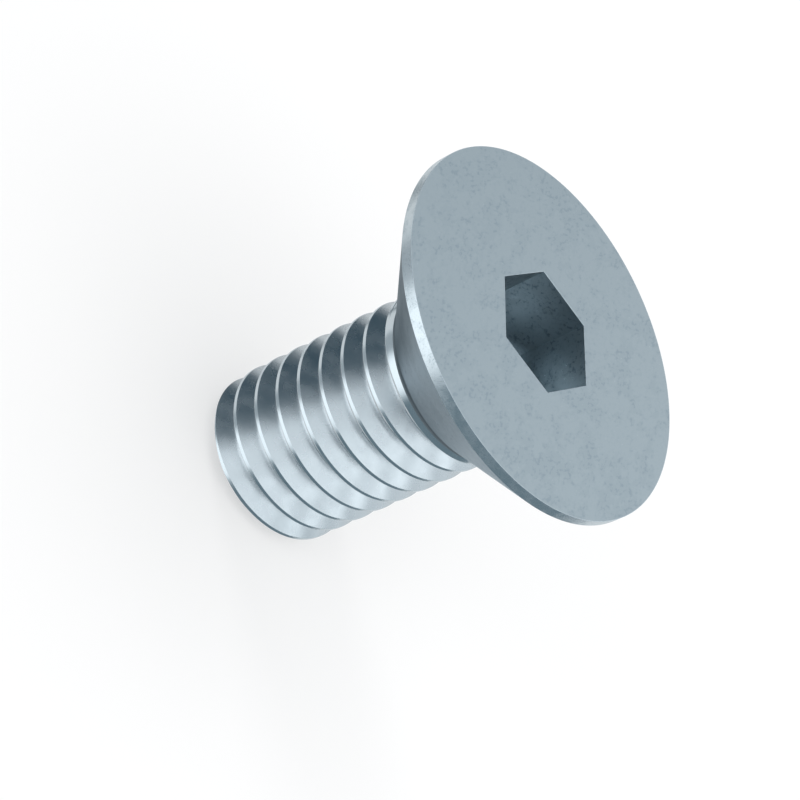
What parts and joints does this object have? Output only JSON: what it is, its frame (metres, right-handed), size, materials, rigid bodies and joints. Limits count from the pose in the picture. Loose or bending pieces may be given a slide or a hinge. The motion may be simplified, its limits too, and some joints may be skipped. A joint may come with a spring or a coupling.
{
  "type": "countersunk socket screw",
  "caption": "Countersunk machine screw with a flat top, a hexagonal socket, a short plain collar and a right-hand metric thread down to a chamfered end.",
  "frame": {"origin": "centre of the flat end face, the lowest face of the screw", "axes": "+Z along the screw's axis from the end face to the head; the hexagonal socket has a corner 21 degrees from +X towards +Y"},
  "size_m": [0.0164, 0.0162, 0.0158],
  "materials": {
    "zinc_plated_steel": "bright bluish zinc plating, fine mottled satin on the top face, smoother and shinier on the cone and thread"
  },
  "bodies": {
    "root": {"screw": "zinc_plated_steel"}
  },
  "joints": []
}
